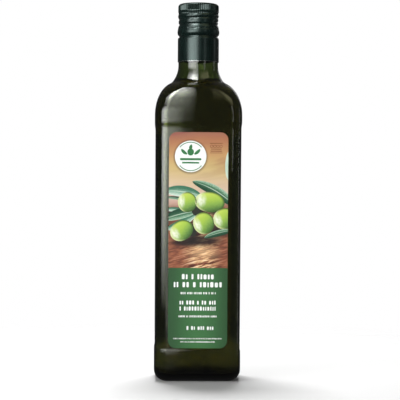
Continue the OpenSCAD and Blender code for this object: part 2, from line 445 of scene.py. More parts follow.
def makeGlass():
    n = bottle["perQuarter"]
    loops = dishLoops(0, n) + heelLoops(bottle["heel"], 0, 0, n)
    for z in sideHeights():
        loops += sideLoops([z], panelAt(z), n)
    loops += shoulderLoops(0, bottle["neckR"], n)
    loops.append(outline(bottle["neckR"], bottle["neckR"], capLow, n))
    loops += [outline(r, r, capTop - down, n) for down, r in finishSide]
    mouth = capTop - bottle["mouthDown"]
    for a in evenly(0, math.pi / 2, 4):
        r = bottle["finishR"] - bottle["lipR"] * (1 - math.cos(a))
        loops.append(outline(r, r, mouth - bottle["lipR"] * (1 - math.sin(a)), n))
    for wider, down in mouthEdge:
        loops.append(outline(bottle["boreR"] + wider, bottle["boreR"] + wider, mouth - down, n))
    loops += reversed(shoulderLoops(bottle["wall"], bottle["boreR"], n))
    loops += sideLoops(evenly(195, 25, 8), bottle["wall"], n)
    loops += reversed(heelLoops(bottle["heel"] - bottle["wall"], bottle["baseT"], bottle["wall"], n))
    loops += reversed(dishLoops(bottle["baseT"], n))
    piece = growLoops("bottleGlass", loops)
    smoothBelow(piece, 42)
    piece.data.materials.append(glassMaterial())
    handOver(piece, "bottle")
    return piece


glass = makeGlass()
print("stage: glass", len(glass.data.polygons), "faces")


# in mm: how far it reaches into the wall, how high it climbs at the glass, and how wide that edge is
oilShape = {
    "reach": 0.15,
    "climb": 0.55,
    "curl": 2.6,
    "curlCurve": 2.2,
    "dark": (0.86, 0.84, 0.5, 1),
    "pale": (0.95, 0.93, 0.62, 1),
    "depthColour": (0.74, 0.68, 0.0, 1),
    "density": 140.0,
}


def oilMaterial():
    mat, tree, shader = newMaterial("oliveOil")
    place = coords(tree)
    shader.inputs["Transmission Weight"].default_value = 1.0
    shader.inputs["IOR"].default_value = 1.47
    cloud = noise(tree, place, 30, 4, 0.6)
    colour = ramp(tree, cloud, [(0.3, oilShape["dark"]), (0.7, oilShape["pale"])])
    wire(tree, colour, shader.inputs["Base Color"])
    wire(tree, spread(tree, cloud, 0.3, 0.7, 0.0, 0.02, "LINEAR"), shader.inputs["Roughness"])
    absorb(tree, oilShape["depthColour"], oilShape["density"])
    return mat


def makeOil():
    n = bottle["perQuarter"]
    reach = oilShape["reach"]
    inset = bottle["wall"] - reach
    low = bottle["baseT"] - reach
    loops = dishLoops(low, n) + heelLoops(bottle["heel"] - bottle["wall"], low, inset, n)
    loops += sideLoops(evenly(25, 195, 8), inset, n)
    top = oilLevel + oilShape["climb"]
    rim = [loop for loop in shoulderLoops(inset, bottle["boreR"] + reach, n) if loop[0][2] < top]
    loops += rim
    wallR = max(abs(p[0]) for p in rim[-1])
    wallZ = rim[-1][0][2]
    for t in evenly(0, 1, 6)[1:]:
        r = wallR - reach - oilShape["curl"] * t
        z = oilLevel + (wallZ - oilLevel) * (1 - t) ** oilShape["curlCurve"]
        loops.append(outline(r, r, z, n))
    for share in (0.6, 0.3, 0.05):
        loops.append(outline(r * share, r * share, oilLevel, n))
    piece = growLoops("oliveOil", loops)
    smoothBelow(piece, 40)
    piece.data.materials.append(oilMaterial())
    handOver(piece, "oil")
    return piece


oil = makeOil()
print("stage: oil", len(oil.data.polygons), "faces")


# the cap, with its heights in mm below its top and its angles in degrees
capShape = {
    "knurls": 64,
    "perKnurl": 4,
    "knurlDepth": 0.5,
    "knurlBand": (1.0, 5.9),
    "tickDepth": 0.4,
    "tickBand": (7.0, 8.6),
    "bridges": 20,
    "bridgeWide": 3,
    "bridgeSoft": 1.2,
    "slitDepth": 0.28,
    "slitBand": (19.1, 19.9),
    "threadPitch": 3.5,
    "threadFrom": 14.8,
    "threadTurns": 1.25,
    "threadDepth": 0.55,
    "threadSoft": 0.62,
    "threadStart": -62,
    "dentSoft": 0.42,
    "lip": 0.3,
    "cutEdge": 0.25,
    "dark": srgb(15, 32, 29),
    "light": srgb(22, 42, 38),
    "worn": srgb(120, 126, 122),
}
# (distance below the top, radius) where the side's line bends
capSide = [(0.0, 13.5), (0.1, 14.0), (0.35, 14.6), (0.8, 15.15), (1.4, 15.58), (2.1, 15.8), (5.9, 15.84),
           (6.4, 15.86), (6.9, 15.55), (7.5, 15.12), (8.1, 15.12), (8.7, 15.6), (9.5, 15.92), (10.4, 15.86),
           (11.2, 15.55), (12.0, 15.5), (15.2, 15.46), (15.8, 15.0), (16.3, 14.78), (16.8, 15.0),
           (17.6, 15.5), (18.6, 15.8), (19.9, 15.98), (21.0, 16.24), (22.1, 16.34), (23.2, 16.24),
           (24.4, 15.8), (25.1, 15.1), (25.6, 14.82), (26.1, 15.0), (26.9, 15.8), (27.5, 15.98),
           (28.5, 16.0), (44.2, 16.0), (44.8, 16.03), (45.3, 16.03)]
capEnd, capEndR = capSide[-1]
capInside = [(45.1, 15.6), (27.2, 15.6), (25.85, 14.4), (25.15, 14.4), (23.7, 15.6), (18.5, 15.6),
             (16.25, 14.4), (0.4, 14.4), (0.4, 8), (0.4, 1)]
# creases left by rolling: angle of the middle, half angle, distance below the top, rise over the half, depth
capDents = [(-112, 16, 9.6, 0.9, 0.28), (-106, 13, 12.6, 1.1, 0.3), (-118, 10, 19.6, -0.6, 0.2),
            (-104, 9, 20.4, 0.9, 0.24), (-88, 8, 8.9, 0.5, 0.2), (60, 15, 10.4, 1.0, 0.26),
            (95, 12, 20.0, 0.8, 0.22)]


def capRadius(down):
    for (d0, r0), (d1, r1) in zip(capSide, capSide[1:]):
        if down <= d1:
            return mixNumber(r0, r1, smooth((down - d0) / (d1 - d0)))
    return capSide[-1][1]


def band(down, ends, soft=0.25):
    # 1 between the ends, with a soft rise just inside each of them
    return smooth((down - ends[0]) / soft) * smooth((ends[1] - down) / soft)


def threadCut(down, angle):
    turned = ((angle - capShape["threadStart"]) % 360) / 360
    cut = 0.0
    for lap in range(math.ceil(capShape["threadTurns"]) + 1):
        along = turned + lap
        if along <= capShape["threadTurns"]:
            at = capShape["threadFrom"] - capShape["threadPitch"] * along
            runOut = min(1, 9 * min(along, capShape["threadTurns"] - along))
            cut += capShape["threadDepth"] * runOut * math.exp(-((down - at) / capShape["threadSoft"]) ** 2)
    return cut


def dentCut(down, angle):
    cut = 0.0
    for middle, half, at, rise, deep in capDents:
        along = (angle - middle) / half
        if abs(along) < 1:
            off = (down - at + rise * along) / capShape["dentSoft"]
            cut += deep * (1 - along ** 2) * math.exp(-off ** 2)
    return cut


def slitCut(down, angle):
    step = 360 / capShape["bridges"]
    past = angle % step
    slit = smooth((past - capShape["bridgeWide"]) / capShape["bridgeSoft"])
    slit *= smooth((step - past) / capShape["bridgeSoft"])
    return capShape["slitDepth"] * slit * band(down, capShape["slitBand"], 0.18)


def capPoint(down, angle):
    phase = (angle / 360 * capShape["knurls"] + 0.5 / capShape["perKnurl"]) % 1
    crest = 1 - abs(phase - 0.5) * 2  # 1 on a crest, 0 in a root
    r = capRadius(down)
    r -= capShape["knurlDepth"] * (1 - crest) * band(down, capShape["knurlBand"])
    r += capShape["tickDepth"] * crest * band(down, capShape["tickBand"])
    r -= threadCut(down, angle) + dentCut(down, angle) + slitCut(down, angle)
    return (r * math.cos(math.radians(angle)), r * math.sin(math.radians(angle)), capTop - down)


def rowStep(down):
    # close rows at the top's edge and at the slits, wide ones on the plain skirt
    if down < 1.6 or 18.8 < down < 20.2:
        return 0.14
    return 1.6 if 28.5 < down < 43.2 else 0.3


def capMaterial():
    mat, tree, shader = newMaterial("capLacquer")
    place = coords(tree)
    speck = noise(tree, place, 2600, 3, 0.6)
    brushed = noise(tree, coords(tree, stretch=(1, 1, 25)), 1500, 3, 0.6)
    patch = noise(tree, place, 90, 3, 0.5)
    colour = ramp(tree, patch, [(0.3, capShape["dark"]), (0.7, capShape["light"])])
    edge = tree.nodes.new("ShaderNodeNewGeometry").outputs["Pointiness"]
    worn = spread(tree, edge, 0.52, 0.6, 0.0, 0.35)
    colour = blendColour(tree, calc(tree, "MULTIPLY", worn, speck), colour, capShape["worn"])
    wire(tree, colour, shader.inputs["Base Color"])
    shader.inputs["Metallic"].default_value = 0.55
    shader.inputs["Coat Weight"].default_value = 0.15
    shader.inputs["Coat Roughness"].default_value = 0.2
    wire(tree, spread(tree, brushed, 0.3, 0.7, 0.22, 0.34, "LINEAR"), shader.inputs["Roughness"])
    bump(tree, calc(tree, "ADD", calc(tree, "MULTIPLY", speck, 0.4), brushed), shader, 0.12, 0.0001)
    return mat


def rimMaterial():
    mat, tree, shader = newMaterial("capCutEdge")
    ridges = noise(tree, coords(tree, stretch=(1, 1, 5)), 1800, 2, 0.5)
    wire(tree, ramp(tree, ridges, [(0.3, (0.5, 0.51, 0.5, 1)), (0.7, (0.72, 0.72, 0.7, 1))]),
         shader.inputs["Base Color"])
    shader.inputs["Metallic"].default_value = 1.0
    wire(tree, spread(tree, ridges, 0.3, 0.7, 0.25, 0.4, "LINEAR"), shader.inputs["Roughness"])
    return mat


def makeCap():
    count = capShape["knurls"] * capShape["perKnurl"]
    angles = [-180 + 360 * (i + 0.5) / count for i in range(count)]

    def circle(r, down):
        return [(r * math.cos(math.radians(a)), r * math.sin(math.radians(a)), capTop - down) for a in angles]

    loops = [circle(r, 0.0) for r in (1, 6, 10, 12.4)]
    down = 0.0
    while down < capEnd - 1e-6:
        loops.append([capPoint(down, a) for a in angles])
        down += rowStep(down)
    loops.append([capPoint(capEnd, a) for a in angles])
    loops.append(circle(capEndR - capShape["lip"], capEnd))
    loops += [circle(r, d) for d, r in capInside]
    piece = growLoops("screwCap", loops)
    piece.data.materials.append(capMaterial())
    piece.data.materials.append(rimMaterial())
    edgeTop = (capTop - capEnd + capShape["cutEdge"]) * mm
    for face in piece.data.polygons:
        face.material_index = 1 if face.center.z < edgeTop else 0
    smoothBelow(piece, 50)
    handOver(piece, "cap")
    return piece


cap = makeCap()
print("stage: cap", len(cap.data.polygons), "faces")


# the labels are drawn flat as (across, height) in mm, then laid on the panels
paper = {
    "half": labelBox[1][0] / mm,
    "low": labelBox[0][2] / mm,
    "top": labelBox[1][2] / mm,
    "corner": 6.0,
    "cornerSteps": 14,
    "thick": 0.15,
    "ink": 0.012,
    "fieldTop": 87.0,
    "rough": 0.42,
}


def flatRect(left, right, low, high, corner, steps=6):
    # rectangle with rounded corners in the flat drawing
    deselectAll()
    bpy.ops.mesh.primitive_plane_add(size=1)
    piece = bpy.context.object
    piece.scale = ((right - left) * mm, (high - low) * mm, 1)
    piece.location = ((left + right) / 2 * mm, (low + high) / 2 * mm, 0)
    applyPlace(piece)
    if corner:
        startEdit()
        bpy.ops.mesh.bevel(offset=corner * mm, segments=steps, affect="VERTICES")
        bpy.ops.object.mode_set(mode="OBJECT")
    return piece


def flatOval(centre, half, turn=0.0, count=64):
    deselectAll()
    bpy.ops.mesh.primitive_circle_add(vertices=count, radius=1, fill_type="NGON")
    piece = bpy.context.object
    piece.scale = (half[0] * mm, half[1] * mm, 1)
    piece.rotation_euler = (0, 0, math.radians(turn))
    piece.location = (centre[0] * mm, centre[1] * mm, 0)
    applyPlace(piece)
    return piece


def flatRing(centre, radius, width, startAngle=0.0, endAngle=360.0, count=96):
    # ring or arc: a grid bent round the centre, with the ends of a full ring merged
    deselectAll()
    bpy.ops.mesh.primitive_grid_add(x_subdivisions=count, y_subdivisions=1, size=2)
    piece = bpy.context.object
    for vert in piece.data.vertices:
        a = math.radians(mixNumber(endAngle, startAngle, (vert.co.x + 1) / 2))
        r = radius + width / 2 * vert.co.y
        vert.co = ((centre[0] + r * math.cos(a)) * mm, (centre[1] + r * math.sin(a)) * mm, 0)
    startEdit()
    bpy.ops.mesh.remove_doubles(threshold=0.000001)
    bpy.ops.object.mode_set(mode="OBJECT")
    return piece


def flatLeaf(start, end, width, bend, fat=0.6, startWidth=0.0):
    # grid drawn to a leaf from its root at start to its tip at end, bent sideways by bend
    deselectAll()
    bpy.ops.mesh.primitive_grid_add(x_subdivisions=28, y_subdivisions=6, size=2)
    piece = bpy.context.object
    length = math.hypot(end[0] - start[0], end[1] - start[1])
    along = ((end[0] - start[0]) / length, (end[1] - start[1]) / length)
    for vert in piece.data.vertices:
        u, v = (vert.co.x + 1) / 2, vert.co.y
        w = max((4 * u * (1 - u)) ** fat, startWidth * (1 - u), 0.02) * width / 2
        side = v * w + bend * 4 * u * (1 - u)
        vert.co = ((start[0] + along[0] * u * length - along[1] * side) * mm,
                   (start[1] + along[1] * u * length + along[0] * side) * mm, 0)
    return piece


def trimToPaper(piece):
    # cuts away what would hang over the paper's sides
    pickOnly(piece)
    for sign in (-1, 1):
        startEdit()
        bpy.ops.mesh.bisect(plane_co=(sign * paper["half"] * mm, 0, 0), plane_no=(sign, 0, 0),
                            clear_outer=True)
        bpy.ops.object.mode_set(mode="OBJECT")


def layOn(piece, lift, thick, back=False):
    # gives a flat drawing its thickness and lays it on the panel, lift above the glass
    pickOnly(piece)
    startEdit()
    bpy.ops.mesh.extrude_region_move(TRANSFORM_OT_translate={"value": (0, 0, thick * mm)})
    bpy.ops.mesh.select_all(action="SELECT")
    bpy.ops.mesh.normals_make_consistent(inside=False)
    bpy.ops.object.mode_set(mode="OBJECT")
    way = -1 if back else 1
    for vert in piece.data.vertices:
        x, z, out = vert.co
        face = (sideAt(z / mm) - bottle["panelDepth"] + lift) * mm + out
        vert.co = (way * x, -way * face, z)


def finishPrint(pieces, name, layer, mat, back=False, trim=False):
    # joins flat drawings into one print, layer 0 lying right on the paper
    piece = joinPieces(pieces, name)
    if trim:
        trimToPaper(piece)
    layOn(piece, paper["thick"] + layer * paper["ink"], paper["ink"], back)
    piece.data.materials.clear()
    piece.data.materials.append(mat)
    handOver(piece)
    return piece


# each olive in the picture: centre, half size, turn in degrees
olives = [
    ((-8.4, 137.0), (7.2, 7.7), 0),
    ((8.7, 137.2), (11.4, 7.8), -6),
    ((20.1, 124.7), (8.8, 7.9), 20),
    ((4.2, 121.1), (8.0, 8.4), 25),
    ((-12.6, 115.4), (9.2, 7.5), 32),
]
# soft shadows in the picture, under and behind olives and leaves: centre, half size
shadowSpots = [((4, 108.0), (17, 5.5)), ((-10, 106.5), (13, 4.2)), ((0.5, 127.5), (8, 5)),
               ((17, 113.5), (9, 3.4)), ((-18, 129), (9, 5)), ((14, 130), (10, 4)), ((-4.2, 115), (6, 10)),
               ((13, 116), (7, 6))]
badge = {"centre": (-6.1, 171.8), "radius": 12.0, "shadowWide": 1.3, "shadowDown": 0.3}


def finishPaper(tree, shader):
    fibres = noise(tree, coords(tree), 1400, 3, 0.6)
    rough = spread(tree, fibres, 0.3, 0.7, paper["rough"] - 0.05, paper["rough"] + 0.07, "LINEAR")
    wire(tree, rough, shader.inputs["Roughness"])
    shader.inputs["Specular IOR Level"].default_value = 0.22
    bump(tree, fibres, shader, 0.1, 0.00005)
    return fibres


def fieldColourAndShade(tree, x, fibres):
    # the printed green, lighter in the middle and darker towards the edges; that fall-off is partly the
    # print's own tone and partly painted shade
    across = calc(tree, "ABSOLUTE", calc(tree, "ADD", x, -0.001))
    colour = ramp(tree, spread(tree, across, 0.0, 0.024), [
        (0.0, srgb(58, 108, 62)), (0.5, srgb(51, 97, 56)), (1.0, srgb(38, 74, 43))])
    return blendColour(tree, spread(tree, fibres, 0.35, 0.7, 0.0, 0.14), colour, srgb(92, 134, 92))


def backdropColour(tree, z):
    # soft warm background behind the olives, with darker streaks near its top
    drift = noise(tree, coords(tree, stretch=(3.2, 1, 1), tilt=8), 34, 3, 0.5, 0.4)
    height = calc(tree, "ADD", z, calc(tree, "MULTIPLY", calc(tree, "SUBTRACT", drift, 0.5), 0.016))
    warm = ramp(tree, spread(tree, height, 0.132, 0.191, kind="LINEAR"), [
        (0.0, srgb(186, 152, 136)), (0.2, srgb(206, 180, 164)), (0.36, srgb(206, 182, 146)),
        (0.52, srgb(200, 176, 118)), (0.7, srgb(188, 146, 96)), (0.86, srgb(168, 112, 78)),
        (1.0, srgb(142, 92, 80))])
    streaks = noise(tree, coords(tree, stretch=(7, 1, 1), tilt=10), 60, 4, 0.6, 0.6)
    streaky = spread(tree, streaks, 0.48, 0.66, 0.0, 0.8)
    streaky = calc(tree, "MULTIPLY", streaky, spread(tree, z, 0.15, 0.19, 0.15, 1.0))
    return blendColour(tree, streaky, warm, srgb(140, 74, 70))


def boardColour(tree, x, z):
    # the wooden board, its grain rising to the right, redder at both sides and lit low in the middle
    grainPlace = coords(tree, stretch=(7, 1, 1), tilt=15)
    fine = noise(tree, grainPlace, 850, 4, 0.6, 0.3)
    broad = noise(tree, grainPlace, 420, 3, 0.6, 0.5)
    grain = calc(tree, "ADD", calc(tree, "MULTIPLY", fine, 0.62), calc(tree, "MULTIPLY", broad, 0.38))
    wood = ramp(tree, grain, [
        (0.4, srgb(66, 30, 26)), (0.455, srgb(128, 72, 54)), (0.505, srgb(184, 134, 96)),
        (0.55, srgb(222, 182, 132)), (0.62, srgb(242, 218, 184))])
    reddish = spread(tree, calc(tree, "ABSOLUTE", calc(tree, "ADD", x, -0.003)), 0.003, 0.017, 0.0, 0.85)
    wood = blendColour(tree, reddish, wood, srgb(150, 84, 62), "MULTIPLY")
    wood = blendColour(tree, calc(tree, "MULTIPLY", reddish, 0.35), wood, srgb(164, 108, 84))
    lit = oval(tree, x, z, (0.004, 0.099), (0.013, 0.007), 0.0, 1.3)
    return blendColour(tree, calc(tree, "MULTIPLY", lit, 0.45), wood, srgb(236, 196, 146))


def darkenBy(tree, shade, mask, amount):
    return calc(tree, "MULTIPLY", shade, calc(tree, "SUBTRACT", 1.0, calc(tree, "MULTIPLY", mask, amount)))


def pictureShade(tree, x, z):
    # 1 in the open, lower where olives, leaves and the badge throw their shadows
    shade = 1.0
    for centre, half in shadowSpots:
        mask = oval(tree, x, z, [c * mm for c in centre], [h * mm for h in half], 0.35, 1.25)
        shade = darkenBy(tree, shade, mask, 0.92)
    cx, cz = badge["centre"]
    half = (badge["radius"] + badge["shadowWide"]) * mm
    mask = oval(tree, x, z, (cx * mm, (cz - badge["shadowDown"]) * mm), (half, half), 0.88, 1.06)
    return darkenBy(tree, shade, mask, 0.6)


def pictureMaterial():
    mat, tree, shader = newMaterial("labelPicture")
    x, _, z = axes(tree, coords(tree))
    fibres = finishPaper(tree, shader)
    slope = calc(tree, "ADD", z, calc(tree, "MULTIPLY", x, -0.1))
    colour = blendColour(tree, spread(tree, slope, 0.128, 0.142), boardColour(tree, x, z),
                         backdropColour(tree, z))
    dark = calc(tree, "SUBTRACT", 1.0, pictureShade(tree, x, z))
    colour = blendColour(tree, dark, colour, srgb(26, 22, 24))
    onField = calc(tree, "LESS_THAN", z, paper["fieldTop"] * mm)
    # the green field carries painted shade towards its edges
    colour = blendColour(tree, onField, colour, fieldColourAndShade(tree, x, fibres))
    wire(tree, colour, shader.inputs["Base Color"])
    return mat


def oliveMaterial():
    mat, tree, shader = newMaterial("printedOlives")
    u, v, _ = axes(tree, coords(tree, "UV"))
    freckle = noise(tree, coords(tree), 900, 3, 0.6)
    lit = calc(tree, "ADD", calc(tree, "MULTIPLY", v, 0.8), calc(tree, "MULTIPLY", u, -0.35))
    lit = calc(tree, "ADD", lit, calc(tree, "MULTIPLY", calc(tree, "SUBTRACT", freckle, 0.5), 0.16))
    skin = ramp(tree, spread(tree, lit, -0.35, 0.72, kind="LINEAR"), [
        (0.05, srgb(38, 66, 36)), (0.25, srgb(84, 122, 58)), (0.42, srgb(128, 166, 72)),
        (0.6, srgb(160, 192, 74)), (0.85, srgb(186, 208, 86)), (1.0, srgb(204, 220, 120))])
    # the rim is pale on the left, where the light comes from, and dark on the right
    inside = oval(tree, u, v, (0.5, 0.5), (0.5, 0.5), 0.78, 1.0)
    rim = blendColour(tree, spread(tree, u, 0.1, 0.5), srgb(206, 216, 150), srgb(62, 92, 40))
    skin = blendColour(tree, inside, rim, skin)
    shine = oval(tree, u, v, (0.2, 0.54), (0.2, 0.36), 0.1, 1.2)
    patches = noise(tree, coords(tree, "UV", stretch=(0.5, 1, 1)), 5, 3, 0.6)
    shine = calc(tree, "MULTIPLY", shine, spread(tree, patches, 0.3, 0.6, 0.45, 1.0))
    skin = blendColour(tree, calc(tree, "MULTIPLY", shine, 0.95), skin, srgb(236, 238, 224))
    wire(tree, skin, shader.inputs["Base Color"])
    finishPaper(tree, shader)
    return mat


def leafMaterial(name, dark, mid, pale):
    mat, tree, shader = newMaterial(name)
    u, v, _ = axes(tree, coords(tree, "UV"))
    veins = noise(tree, coords(tree, "UV", stretch=(0.11, 0.45, 1)), 5, 4, 0.6, 0.4)
    streak = noise(tree, coords(tree, "UV", stretch=(0.8, 0.07, 1)), 4, 3, 0.6)
    tone = calc(tree, "ADD", calc(tree, "MULTIPLY", v, 0.55), calc(tree, "MULTIPLY", veins, 0.4))
    tone = calc(tree, "ADD", tone, calc(tree, "MULTIPLY", streak, 0.25))
    leaf = ramp(tree, tone, [(0.3, pale), (0.5, mid), (0.75, dark)])
    rib = oval(tree, u, v, (0.45, 0.47), (0.8, 0.055), 0.3, 1.0)
    leaf = blendColour(tree, calc(tree, "MULTIPLY", rib, 0.7), leaf, srgb(206, 222, 204))
    wire(tree, leaf, shader.inputs["Base Color"])
    finishPaper(tree, shader)
    return mat


def inkMaterial(name, colour, second):
    mat, tree, shader = newMaterial(name)
    patch = noise(tree, coords(tree), 260, 4, 0.6)
    fibres = finishPaper(tree, shader)
    uneven = calc(tree, "ADD", calc(tree, "MULTIPLY", patch, 0.6), calc(tree, "MULTIPLY", fibres, 0.4))
    wire(tree, ramp(tree, uneven, [(0.35, second), (0.65, colour)]), shader.inputs["Base Color"])
    return mat


def greenMaterial():
    mat, tree, shader = newMaterial("labelGreen")
    x = axes(tree, coords(tree))[0]
    # the back label's green also carries painted shade towards its edges
    wire(tree, fieldColourAndShade(tree, x, finishPaper(tree, shader)), shader.inputs["Base Color"])
    return mat


# a dash's measures as shares of its row's height; gaps that come up more often stand more than once
dashShape = {
    "wide": (0.22, 0.55),
    "rises": (0.5, 0.5, 0.42),
    "gaps": (0.22, 0.22, 0.22, 0.7),
    "stopBefore": 0.6,
    "corner": 0.2,
}


def dashRow(left, right, low, high, weight, seed):
    # a row of short rules of uneven length that stands where a line of print would
    random.seed(seed)
    tall = (high - low) * weight
    spans = []
    at = 0.0
    while at < right - left - tall * dashShape["stopBefore"]:
        wide = tall * random.uniform(*dashShape["wide"])
        spans.append((at, at + wide, tall * random.choice(dashShape["rises"])))
        at += wide + tall * random.choice(dashShape["gaps"])
    # the row is stretched to end at its right edge
    grow = (right - left) / spans[-1][1]
    middle = (low + high) / 2
    pieces = []
    for start, end, rise in spans:
        corner = min(tall * dashShape["corner"], (end - start) * grow * 0.4)
        pieces.append(flatRect(left + start * grow, left + end * grow, middle - tall / 2, middle + rise,
                               corner, 3))
    return pieces


whiteInk = inkMaterial("whiteInk", srgb(240, 243, 240), srgb(228, 233, 228))
greenInk = inkMaterial("greenInk", srgb(58, 132, 72), srgb(44, 104, 62))
brownInk = inkMaterial("brownInk", srgb(112, 66, 40), srgb(140, 88, 58))
hazeInk = inkMaterial("hazeInk", srgb(205, 222, 204), srgb(178, 205, 184))
shadowInk = inkMaterial("shadowInk", srgb(34, 44, 36), srgb(44, 40, 34))
darkLeaf = leafMaterial("darkLeaf", srgb(26, 66, 46), srgb(66, 118, 84), srgb(172, 200, 176))
paleLeaf = leafMaterial("paleLeaf", srgb(54, 110, 84), srgb(140, 178, 156), srgb(212, 226, 216))
oliveInk = oliveMaterial()


def makeSlab(name, mat, node, back=False):
    slab = flatRect(-paper["half"], paper["half"], paper["low"], paper["top"], paper["corner"],
                    paper["cornerSteps"])
    slab.name = slab.data.name = name
    layOn(slab, 0.0, paper["thick"], back)
    slab.data.materials.append(mat)
    handOver(slab, node)


def printPicture():
    haze = [flatLeaf((22.7, 175.5), (22.4, 154.5), 4.6, 0)]
    finishPrint(haze, "printedHaze", 0, hazeInk, trim=True)
    pale = [
        flatLeaf((-26, 145.6), (2.2, 142.0), 8.5, 1.4),
        flatLeaf((-26, 131.4), (-9.5, 130.6), 3.4, 0.4),
        flatLeaf((-25, 116.0), (-2, 127.2), 5.6, -0.8),
    ]
    finishPrint(pale, "printedPaleLeaves", 0, paleLeaf, trim=True)
    dark = [
        flatLeaf((29, 133), (-4.6, 152.8), 8.2, -2.6),
        flatLeaf((-26, 124.0), (-1.5, 130.2), 8.0, 1.0),
        flatLeaf((-25, 140.6), (-8.6, 138.6), 2.6, 0.5),
        flatLeaf((26.5, 115.8), (4.6, 109.9), 4.6, -0.7),
    ]
    finishPrint(dark, "printedDarkLeaves", 1, darkLeaf, trim=True)
    gaps = [flatOval((-0.8, 130.6), (4.2, 4.0)), flatOval((-4.4, 115.6), (3.6, 4.6))]
    finishPrint(gaps, "printedShadows", 2, shadowInk, trim=True)
    # the first two olives lie behind the others
    finishPrint([flatOval(*o) for o in olives[:2]], "printedOlivesBehind", 3, oliveInk, trim=True)
    finishPrint([flatOval(*o) for o in olives[2:]], "printedOlives", 4, oliveInk, trim=True)


def printBadge():
    cx, cz = badge["centre"]
    finishPrint([flatOval(badge["centre"], (badge["radius"],) * 2, 0, 96)], "badgeDisc", 1, whiteInk)
    sign = [
        flatRing(badge["centre"], 10.8, 0.6, 40, 140),
        flatRing(badge["centre"], 10.8, 0.6, 220, 320),
        flatOval((cx, cz + 3.4), (2.5, 2.7), 0, 40),
        flatLeaf((cx - 0.4, cz + 4.6), (cx + 0.6, cz + 9.2), 2.4, 0.1, 0.8),
        flatLeaf((cx + 2.6, cz + 1.6), (cx + 7.2, cz + 5.6), 2.3, -0.4),
        flatLeaf((cx - 2.6, cz + 1.6), (cx - 7.2, cz + 5.6), 2.3, 0.4),
        flatRect(cx - 8.2, cx + 8.2, cz - 2.9, cz - 1.3, 0.8),
        flatRect(cx - 6.6, cx + 6.6, cz - 5.4, cz - 4.2, 0.6),
    ]
    finishPrint(sign, "badgeSign", 2, greenInk)


def printStamp():
    stamp = [
        flatRect(8.6, 18.2, 181.6, 182.2, 0.2),
        flatRect(8.6, 18.2, 174.4, 174.8, 0.15),
        flatRect(9.0, 17.8, 175.6, 176.3, 0.25),
        flatRect(9.4, 17.4, 177.2, 177.8, 0.2),
    ]
    stamp += [flatRing((9.9 + 2.35 * i, 179.6), 1.0, 0.42, 0, 360, 28) for i in range(4)]
    finishPrint(stamp, "stampRules", 1, brownInk)


def printRules():
    # left, right, low, high, and how much of the height the dashes take
    rows = [(-12.2, 12.1, 77.9, 82.8, 0.82), (-18.3, 18.2, 71.8, 76.7, 0.82), (-13.0, 13.6, 66.3, 69.3, 0.55),
            (-13.8, 13.6, 58.9, 62.4, 0.9), (-13.8, 13.6, 54.3, 57.8, 0.9), (-14.5, 14.4, 48.9, 51.4, 0.6),
            (-8.4, 12.1, 39.2, 43.3, 0.7), (-18.3, 18.2, 32.4, 34.0, 0.6), (-13.0, 13.0, 29.9, 31.5, 0.6)]
    dashes = []
    for seed, row in enumerate(rows):
        dashes += dashRow(*row, seed)
    finishPrint(dashes, "printedRules", 1, whiteInk)


def makeFrontLabel():
    makeSlab("frontLabel", pictureMaterial(), "front_label")
    printPicture()
    printBadge()
    printStamp()
    printRules()


def makeBackLabel():
    makeSlab("backLabel", greenMaterial(), "back_label", True)
    panel = [flatRect(-17.5, 17.5, 62, 106, 2.0), flatOval((0, 172), (9.5, 9.5), 0, 72)]
    dashes = []
    for i in range(7):
        dashes += dashRow(-17, 17 - 3 * (i % 2), 150 - 5 * i, 152.6 - 5 * i, 0.46, 20 + i)
    for i in range(4):
        dashes += dashRow(-17, 17 - 4 * (i % 2), 50 - 4.6 * i, 52.2 - 4.6 * i, 0.46, 40 + i)
    finishPrint(panel + dashes, "backPrintWhite", 0, whiteInk, True)
    lines = [flatRect(-15.5, 15.5, 100 - 6 * i, 100.35 - 6 * i, 0.1) for i in range(7)]
    for i in range(6):
        lines += dashRow(-15, -2 + 3 * (i % 2), 96.2 - 6 * i, 98.6 - 6 * i, 0.46, 60 + i)
        lines += dashRow(8.5, 14.5, 96.2 - 6 * i, 98.6 - 6 * i, 0.46, 80 + i)
    lines += [flatOval((0, 169.6), (2.6, 2.8), 0, 40), flatLeaf((-0.4, 171), (0.6, 177.6), 2.8, 0.1, 0.8),
              flatLeaf((2.8, 168), (7.4, 172.4), 2.3, -0.4), flatLeaf((-2.8, 168), (-7.4, 172.4), 2.3, 0.4)]
    finishPrint(lines, "backPrintGreen", 1, greenInk, True)


makeFrontLabel()
makeBackLabel()
print("stage: labels laid on the panels")


# four studs that the mould leaves on the heel, each sunk a little into the glass
markShape = {
    "studs": ((-6.5, 10), (-3.5, 10), (0.3, 9.5), (-2.4, 12.5)),
    "radius": 0.42,
    "sunk": 0.1,
}


def makeMark():
    pieces = []
    for x, z in markShape["studs"]:
        deselectAll()
        bpy.ops.mesh.primitive_uv_sphere_add(segments=16, ring_count=8, radius=markShape["radius"] * mm,
                                             location=(x * mm, -(sideAt(z) - markShape["sunk"]) * mm, z * mm))
        stud = bpy.context.object
        stud.scale = (1, 0.7, 1)
        applyPlace(stud)
        bpy.ops.object.shade_smooth()
        pieces.append(stud)
    mark = joinPieces(pieces, "mouldMark")
    mark.data.materials.append(glass.data.materials[0])
    handOver(mark)


makeMark()
print("stage: mould's mark")


# in metres; the floor fades out between solidTo and goneBy
floorShape = {
    "radius": 0.75,
    "down": 0.0001,
    "solidTo": 0.25,
    "goneBy": 0.6,
    "colour": (0.56, 0.56, 0.56, 1),
}
# how brightly the surroundings show to each kind of ray
worldShares = {
    "Is Camera Ray": 1.0,
    "Is Transmission Ray": 0.42,
    "Is Glossy Ray": 0.07,
    "Is Diffuse Ray": 0.07,
}


